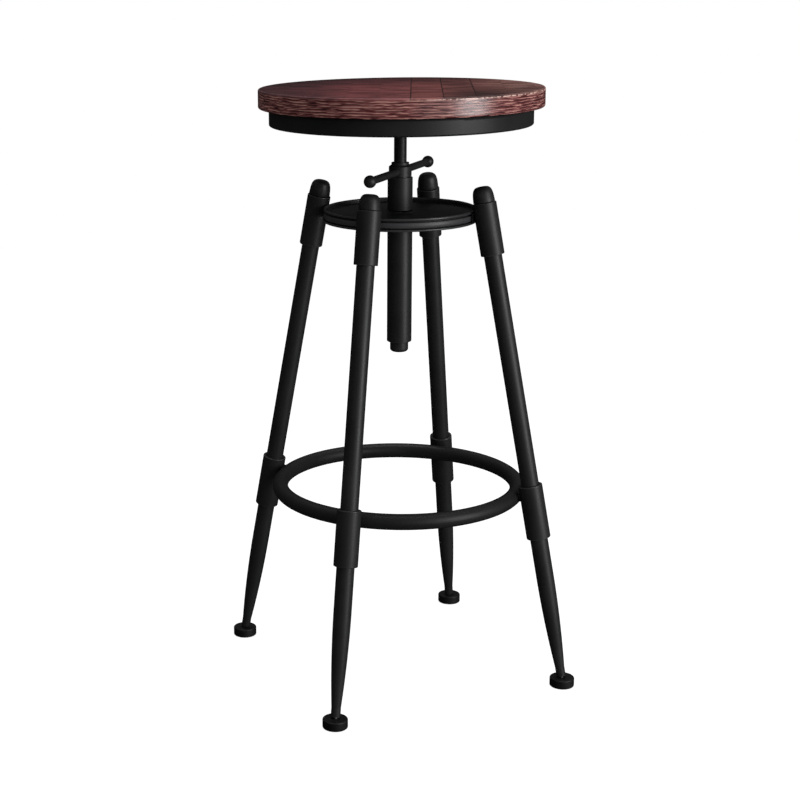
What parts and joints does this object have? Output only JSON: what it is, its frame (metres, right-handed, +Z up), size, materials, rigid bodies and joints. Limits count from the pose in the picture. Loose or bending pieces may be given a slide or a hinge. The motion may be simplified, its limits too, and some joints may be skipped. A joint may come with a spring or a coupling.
{
  "type": "bar stool",
  "caption": "Height-adjustable bar stool: round wooden seat on a screw column, lock nut with a ball-ended bar, splayed tube legs in a dished plate and a round foot ring.",
  "frame": {"origin": "on the floor, midway between the feet, straight below the column", "axes": "+Z up along the column; one leg stands on each of +X, +Y, -X and -Y; the lock bar lies along Y"},
  "size_m": [0.4098, 0.4098, 0.645],
  "materials": {
    "seat_wood": "stained dark red-brown, brushed grain under clear lacquer",
    "black_steel": "satin black powder coat",
    "bright_steel": "zinc plated",
    "black_plastic": "moulded satin black",
    "pad_rubber": "moulded black rubber"
  },
  "bodies": {
    "stand": {"column_tube": "black_steel", "column_nut": "bright_steel", "column_plug": "black_plastic", "leg_plate": "black_steel", "foot_ring": "black_steel", "leg_cap_right": "black_plastic", "leg_cap_back": "black_plastic", "leg_cap_left": "black_plastic", "leg_cap_front": "black_plastic", "top_sleeve_right": "black_steel", "top_sleeve_back": "black_steel", "top_sleeve_left": "black_steel", "top_sleeve_front": "black_steel", "leg_tube_right": "black_steel", "leg_tube_back": "black_steel", "leg_tube_left": "black_steel", "leg_tube_front": "black_steel", "ring_sleeve_right": "black_steel", "ring_sleeve_back": "black_steel", "ring_sleeve_left": "black_steel", "ring_sleeve_front": "black_steel", "leg_end_right": "black_steel", "leg_end_back": "black_steel", "leg_end_left": "black_steel", "leg_end_front": "black_steel", "foot_stud_right": "bright_steel", "foot_stud_back": "bright_steel", "foot_stud_left": "bright_steel", "foot_stud_front": "bright_steel"},
    "screw_stop": {"stop_washer": "bright_steel"},
    "seat": {"seat_board": "seat_wood", "seat_pan": "black_steel", "seat_hub": "black_steel", "seat_bolts": "bright_steel", "seat_screw": "black_steel", "stop_bolt": "bright_steel"},
    "lock_thrust": {"lock_washer": "black_steel"},
    "lock": {"lock_nut": "black_steel", "lock_arm_front": "black_steel", "lock_arm_back": "black_steel", "ball_knob_front": "black_steel", "ball_knob_back": "black_steel"},
    "pad_right": {"foot_pad_right": "pad_rubber"},
    "pad_back": {"foot_pad_back": "pad_rubber"},
    "pad_left": {"foot_pad_left": "pad_rubber"},
    "pad_front": {"foot_pad_front": "pad_rubber"}
  },
  "joints": [
    {"name": "seat_lift", "type": "slide", "parent": "stand", "child": "screw_stop", "axis": [0, 0, 1], "range_m": [0, 0.14]},
    {"name": "seat_spin", "type": "hinge", "parent": "screw_stop", "child": "seat", "pos_m": [0, 0, 0.539], "axis": [0, 0, 1], "range_deg": [0, 10080]},
    {"name": "lock_climb", "type": "slide", "parent": "stand", "child": "lock_thrust", "axis": [0, 0, 1], "range_m": [0, 0.0025]},
    {"name": "lock_spin", "type": "hinge", "parent": "lock_thrust", "child": "lock", "pos_m": [0, 0, 0.557], "axis": [0, 0, 1], "range_deg": [0, 180]},
    {"name": "pad_right_swivel", "type": "hinge", "parent": "stand", "child": "pad_right", "pos_m": [0.1915, 0, 0.006], "axis": [0, 0, 1], "continuous": true},
    {"name": "pad_back_swivel", "type": "hinge", "parent": "stand", "child": "pad_back", "pos_m": [0, 0.1915, 0.006], "axis": [0, 0, 1], "continuous": true},
    {"name": "pad_left_swivel", "type": "hinge", "parent": "stand", "child": "pad_left", "pos_m": [-0.1915, 0, 0.006], "axis": [0, 0, 1], "continuous": true},
    {"name": "pad_front_swivel", "type": "hinge", "parent": "stand", "child": "pad_front", "pos_m": [0, -0.1915, 0.006], "axis": [0, 0, 1], "continuous": true}
  ],
  "couplings": [
    {"joint": "seat_lift", "follows": "seat_spin", "m_per_rad": 0.00079577},
    {"joint": "lock_climb", "follows": "lock_spin", "m_per_rad": 0.00079577}
  ]
}
